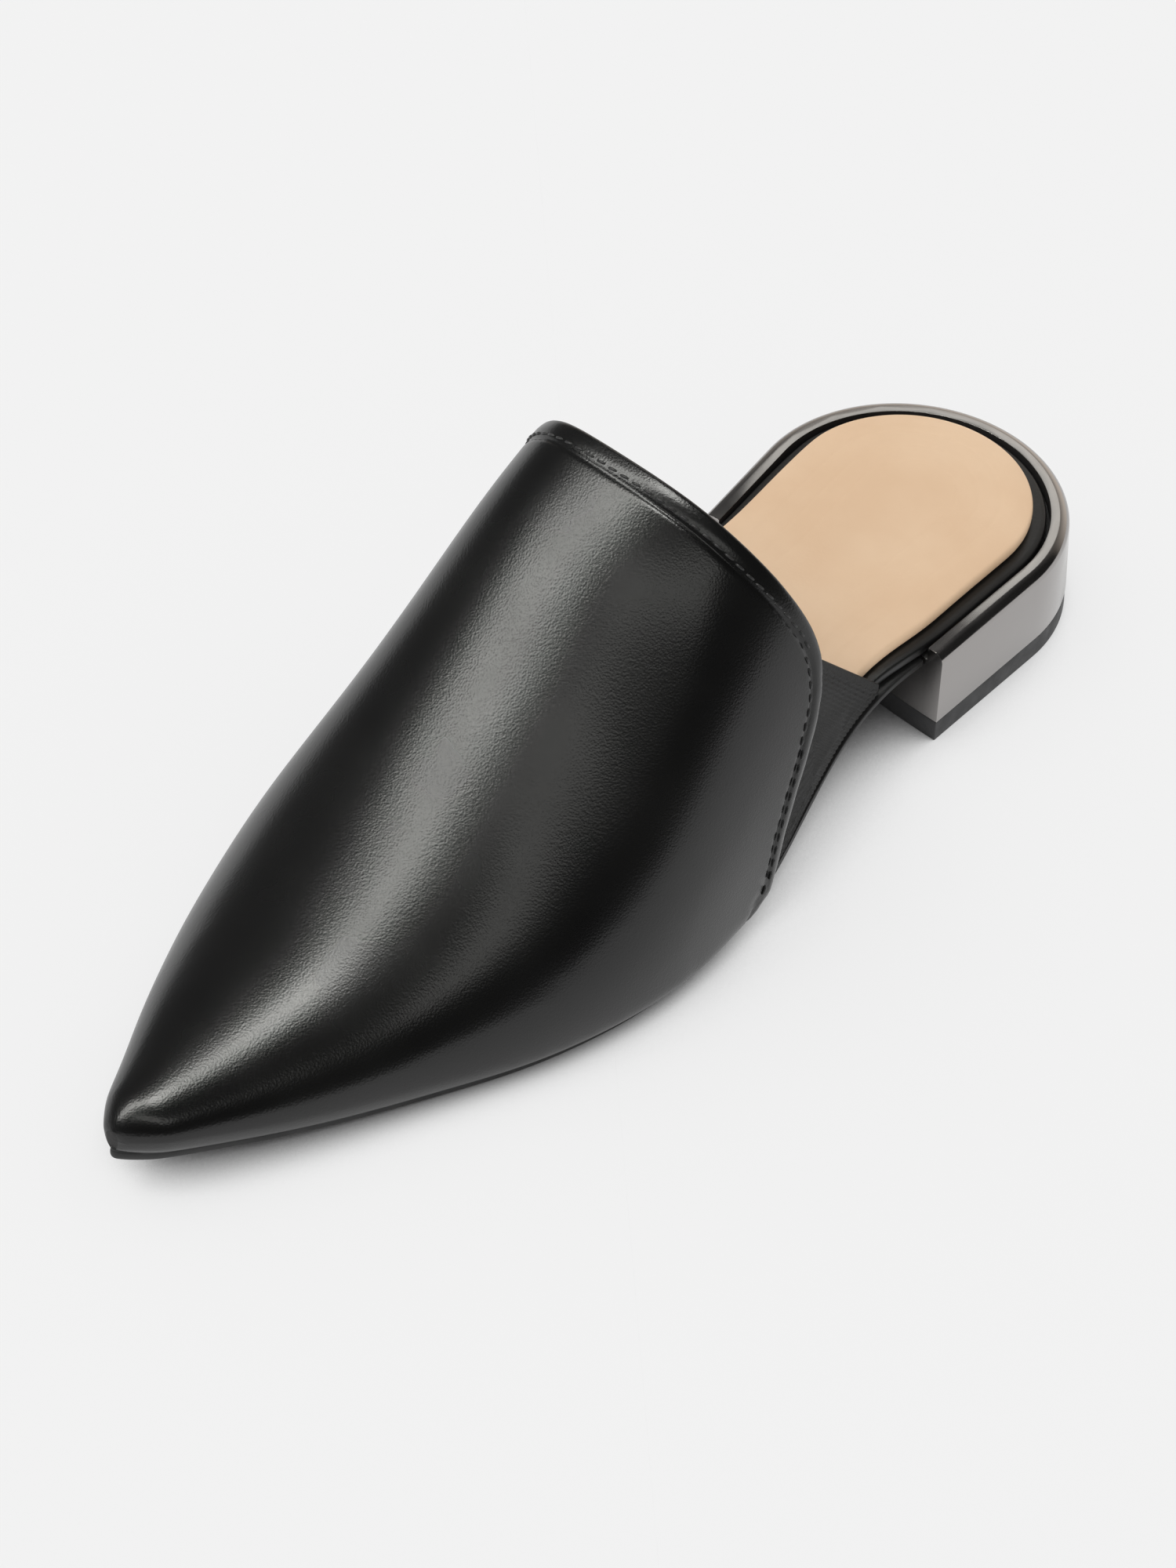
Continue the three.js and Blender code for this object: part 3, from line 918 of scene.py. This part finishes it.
# %% [markdown]
# ## Camera
#
# A long lens looks down at the shoe from its toe and outer side. EYE is where it stands, and two
# angles say which way it looks: how far down, and which way round from the x axis. That unrolled
# view is then turned a little to the right and up, so that the whole shoe lies in the frame.

# %% The camera
EYE = Vector((0.7010, 0.5748, 0.8828))
LOOK_DOWN = radians(45.34)
LOOK_ROUND = radians(-136.17)
TURN_RIGHT = 0.05474
TURN_UP = 0.02589
ahead = Vector((cos(LOOK_DOWN) * cos(LOOK_ROUND), cos(LOOK_DOWN) * sin(LOOK_ROUND),
                -sin(LOOK_DOWN)))
right = Vector((sin(LOOK_ROUND), -cos(LOOK_ROUND), 0))
up = right.cross(ahead)
aim = (ahead + right * TURN_RIGHT + up * TURN_UP).normalized()
upright = (up - aim * up.dot(aim)).normalized()
sideways = aim.cross(upright)
lens = bpy.data.cameras.new("lens")
lens.lens = 145
lens.clip_start = 0.05
camera = bpy.data.objects.new("camera", lens)
bpy.context.scene.collection.objects.link(camera)
axes = Matrix((sideways, upright, -aim)).transposed()
camera.matrix_world = Matrix.Translation(EYE) @ axes.to_4x4()
bpy.context.scene.camera = camera
print("camera at", camera.location, "looking along", aim)

# %% [markdown]
# ## Floor and light
#
# A plain pale floor under an even, white sky lights the shoe from all round. Most of the paper's
# brightness is its own glow, a painted light, and its dimming near the shoe is a painted shadow:
# an Ambient Occlusion node measures how open the sky is, up to 60 mm away, and dims the glow, so
# the shadow is short and soft.
#
# Black leather shows little but what it reflects: long soft boxes draw the streaks, and dark cloth
# keeps the sides black. So what the gloss sees is made apart from what lights the matt surfaces.

# %% The floor
bpy.ops.object.select_all(action="DESELECT")
bpy.ops.mesh.primitive_plane_add(size=12, location=(0, 0, 0))
floor = bpy.context.object
floor.name = "floor"
paper = finish("pale_paper", (0.12, 0.12, 0.121), 0.9, Specular_IOR_Level=0.1,
               Emission_Color=(1, 1, 1, 1))
# The glow is painted light. Where the shoe hides the sky, the AO node dims it into a painted
# contact shadow.
ao_for_painted_shadow = node(paper, "ShaderNodeAmbientOcclusion", samples=12, Distance=mm(60))
painted_glow_and_shadow = stretched(paper, ao_for_painted_shadow.outputs["AO"], 0.2, 0.6, 0, 0.758)
link(paper, painted_glow_and_shadow, paper.node_tree.nodes["Principled BSDF"].inputs["Emission Strength"])
floor.data.materials.append(paper)
print("floor laid, with", paper.name)


# %% The soft boxes, for gloss only
def soft_box(name, place, size, power, way=(1, 0, 0), gloss_only=True):
    """A rectangle of light that faces the shoe. Its second size runs the given way."""
    light = bpy.data.lights.new(name, "AREA")
    light.shape = "RECTANGLE"
    light.size, light.size_y = size
    light.energy = power
    light.color = (1, 1, 0.96)
    holder = bpy.data.objects.new(name, light)
    bpy.context.scene.collection.objects.link(holder)
    holder.visible_diffuse = not gloss_only
    holder.visible_glossy = gloss_only
    backwards = Vector(place).normalized()
    lengthwise = (Vector(way) - backwards * backwards.dot(Vector(way))).normalized()
    turn = Matrix((lengthwise.cross(backwards), lengthwise, backwards)).transposed()
    holder.matrix_world = Matrix.Translation(place) @ turn.to_4x4()


INNER_WAY = (0.88, -0.47, 0)
OUTER_WAY = (-0.53, 0.85, 0)
soft_box("inner_box", (0.55, -0.49, 1.3), (0.24, 2.0), 19, way=INNER_WAY)
soft_box("toe_box", (-0.17, -0.14, 1.3), (0.32, 0.32), 3.2)
soft_box("outer_box", (0.74, 0.50, 1.25), (0.28, 1.7), 3.2, way=OUTER_WAY)
soft_box("rim_box", (-1.02, -0.60, 1.02), (0.36, 0.36), 0.42)
soft_box("key", (0.6, -1.8, 3.2), (2.5, 2.5), 25, gloss_only=False)

# %% [markdown]
# The sky lights what is matt. A Light Path node tells rays that left a glossy surface from all
# others, and gives them a dim room instead: dark cloth that is paler towards the inner side, and
# a warm wall far off behind the shoe, which the heel's metal mirrors. A world has a node tree as a
# material does, so the same helpers build it.

# %% The room
world = bpy.data.worlds.new("room")
bpy.context.scene.world = world
world.use_nodes = True
sky = world.node_tree.nodes["Background"]
sky.inputs["Color"].default_value = (1, 1, 1, 1)
sky.inputs["Strength"].default_value = 0.9
direction = node(world, "ShaderNodeTexCoord").outputs["Generated"]

split = node(world, "ShaderNodeSeparateXYZ")
link(world, direction, split.inputs["Vector"])
inner_side = stretched(world, split.outputs["Y"], 0.3, -1, 0.02, 0.16)
cloth = node(world, "ShaderNodeBackground")
link(world, inner_side, cloth.inputs["Strength"])

BEHIND_HEEL = (-0.95, -0.31, 0)
towards = node(world, "ShaderNodeVectorMath", operation="DOT_PRODUCT")
towards.inputs[1].default_value = BEHIND_HEEL
link(world, direction, towards.inputs[0])
far_wall = stretched(world, towards.outputs["Value"], 0.7, 0.95, 0, 1)
wall = node(world, "ShaderNodeBackground", Color=(1, 0.9, 0.8, 1))
link(world, far_wall, wall.inputs["Strength"])

both = node(world, "ShaderNodeAddShader")
link(world, cloth.outputs["Background"], both.inputs[0])
link(world, wall.outputs["Background"], both.inputs[1])
either = node(world, "ShaderNodeMixShader")
ray = node(world, "ShaderNodeLightPath")
link(world, ray.outputs["Is Glossy Ray"], either.inputs["Fac"])
link(world, sky.outputs["Background"], either.inputs[1])
link(world, both.outputs["Shader"], either.inputs[2])
surface = world.node_tree.nodes["World Output"].inputs["Surface"]
link(world, either.outputs["Shader"], surface)
bpy.context.scene.view_settings.view_transform = "Standard"
